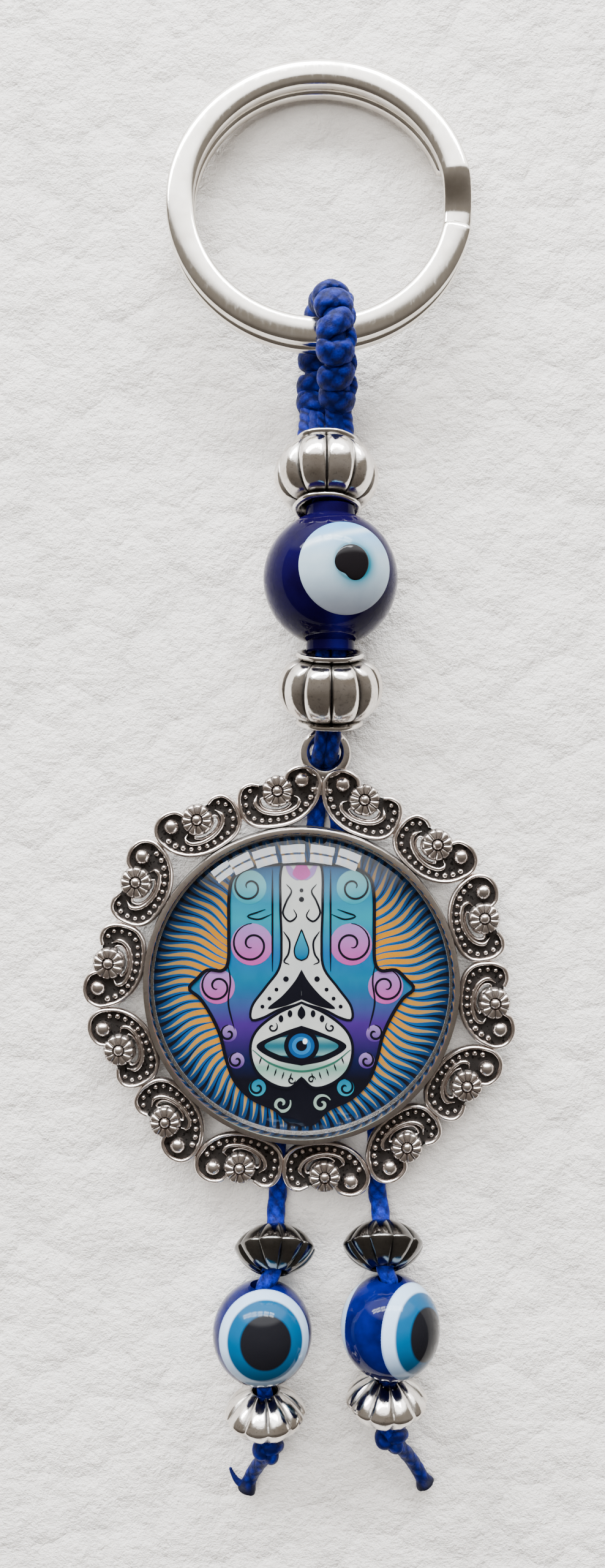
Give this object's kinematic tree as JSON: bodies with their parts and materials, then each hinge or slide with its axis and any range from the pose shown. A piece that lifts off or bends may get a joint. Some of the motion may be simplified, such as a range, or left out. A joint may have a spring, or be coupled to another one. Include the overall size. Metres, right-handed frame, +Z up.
{
  "type": "evil eye key-chain ornament",
  "caption": "Key-chain charm: split ring, knotted cord loop, eye bead between lobed beads, openwork pendant with a domed glass picture, and hanging cord drops with eye beads.",
  "frame": {"origin": "on the surface the ornament lies on, under the middle of the box of its solid pieces", "axes": "+Z up out of the picture, +Y towards the key ring, +X to the right"},
  "size_m": [0.0428, 0.1445, 0.013],
  "materials": {
    "nickel": "polished nickel plate, lightly scratched",
    "silver": "antique silver casting, dark in its hollows",
    "gunmetal": "darkened silver casting, glossy",
    "cord": "braided synthetic cord with a satin sheen",
    "violet_glass": "deep blue-violet glass, glossy",
    "cobalt": "glossy cobalt resin",
    "white": "glossy milky white",
    "turquoise": "glossy turquoise",
    "black": "glossy black",
    "print": "printed paper, satin",
    "clear": "clear polished glass"
  },
  "bodies": {
    "pendant": {"pendant_tray": "silver", "picture_disc": "print", "glass_cabochon": "clear", "eyelet_cord": "cord"},
    "strand": {"strand_cord_left": "cord", "strand_cord_right": "cord", "knotted_loop": "cord"},
    "ring": {"key_ring": "nickel"},
    "upper_lantern": {"lantern_bead_upper": "silver"},
    "glass_eye": {"large_eye_glass": "violet_glass", "large_eye_white": "white", "large_eye_halo": "turquoise", "large_eye_pupil": "black"},
    "lower_lantern": {"lantern_bead_lower": "silver"},
    "leg_left": {"leg_cord_left": "cord"},
    "drop_left": {"drop_cord_left": "cord", "knot_left": "cord", "tail_left": "cord"},
    "upper_bicone_left": {"upper_bicone_left": "gunmetal"},
    "eye_left": {"eye_bead_left": "cobalt", "eye_bead_left_front_black": "black", "eye_bead_left_front_turquoise": "turquoise", "eye_bead_left_front_white": "white", "eye_bead_left_back_black": "black", "eye_bead_left_back_turquoise": "turquoise", "eye_bead_left_back_white": "white"},
    "lower_bicone_left": {"lower_bicone_left": "silver"},
    "leg_right": {"leg_cord_right": "cord"},
    "drop_right": {"drop_cord_right": "cord", "knot_right": "cord", "tail_right": "cord"},
    "upper_bicone_right": {"upper_bicone_right": "gunmetal"},
    "eye_right": {"eye_bead_right": "cobalt", "eye_bead_right_front_black": "black", "eye_bead_right_front_turquoise": "turquoise", "eye_bead_right_front_white": "white", "eye_bead_right_back_black": "black", "eye_bead_right_back_turquoise": "turquoise", "eye_bead_right_back_white": "white"},
    "lower_bicone_right": {"lower_bicone_right": "silver"}
  },
  "joints": [
    {"name": "strand_fold", "type": "hinge", "parent": "pendant", "child": "strand", "pos_m": [0.00258, 0.00122, 0.0028], "axis": [1, 0, 0], "range_deg": [-40, 45]},
    {"name": "ring_swing", "type": "hinge", "parent": "strand", "child": "ring", "pos_m": [0.0025, 0.03995, 0.00535], "axis": [1, 0, 0], "range_deg": [-100, 110]},
    {"name": "upper_lantern_spin", "type": "hinge", "parent": "strand", "child": "upper_lantern", "pos_m": [0.0024, 0.02615, 0.0052], "axis": [0, 0.9744, -0.225], "continuous": true},
    {"name": "glass_eye_spin", "type": "hinge", "parent": "strand", "child": "glass_eye", "pos_m": [0.0028, 0.01595, 0.0065], "axis": [0, 1, 0], "continuous": true},
    {"name": "lower_lantern_spin", "type": "hinge", "parent": "strand", "child": "lower_lantern", "pos_m": [0.00285, 0.0055, 0.00512], "axis": [0, 0.9613, 0.2756], "continuous": true},
    {"name": "leg_left_swing", "type": "hinge", "parent": "pendant", "child": "leg_left", "pos_m": [0.0015, -0.0009, 0.00086], "axis": [1, 0, 0], "range_deg": [0, 60]},
    {"name": "drop_left_fold", "type": "hinge", "parent": "leg_left", "child": "drop_left", "pos_m": [-0.00245, -0.04585, 0.0009], "axis": [1, 0, 0], "range_deg": [-15, 60]},
    {"name": "upper_bicone_left_spin", "type": "hinge", "parent": "drop_left", "child": "upper_bicone_left", "pos_m": [-0.00265, -0.05015, 0.0034], "axis": [0, 0.788, -0.6157], "continuous": true},
    {"name": "eye_left_spin", "type": "hinge", "parent": "drop_left", "child": "eye_left", "pos_m": [-0.00384, -0.05765, 0.0049], "axis": [0, 1, 0], "continuous": true},
    {"name": "lower_bicone_left_spin", "type": "hinge", "parent": "drop_left", "child": "lower_bicone_left", "pos_m": [-0.0036, -0.06585, 0.0041], "axis": [0, 0.9986, 0.0523], "continuous": true},
    {"name": "leg_right_swing", "type": "hinge", "parent": "pendant", "child": "leg_right", "pos_m": [0.0033, -0.0009, 0.00086], "axis": [1, 0, 0], "range_deg": [0, 60]},
    {"name": "drop_right_fold", "type": "hinge", "parent": "leg_right", "child": "drop_right", "pos_m": [0.0078, -0.04585, 0.0009], "axis": [1, 0, 0], "range_deg": [-15, 60]},
    {"name": "upper_bicone_right_spin", "type": "hinge", "parent": "drop_right", "child": "upper_bicone_right", "pos_m": [0.0081, -0.04975, 0.00345], "axis": [0, 0.809, -0.5878], "continuous": true},
    {"name": "eye_right_spin", "type": "hinge", "parent": "drop_right", "child": "eye_right", "pos_m": [0.0087, -0.0571, 0.0049], "axis": [0, 1, 0], "continuous": true},
    {"name": "lower_bicone_right_spin", "type": "hinge", "parent": "drop_right", "child": "lower_bicone_right", "pos_m": [0.0084, -0.0646, 0.0041], "axis": [0, 0.9986, 0.0523], "continuous": true}
  ]
}
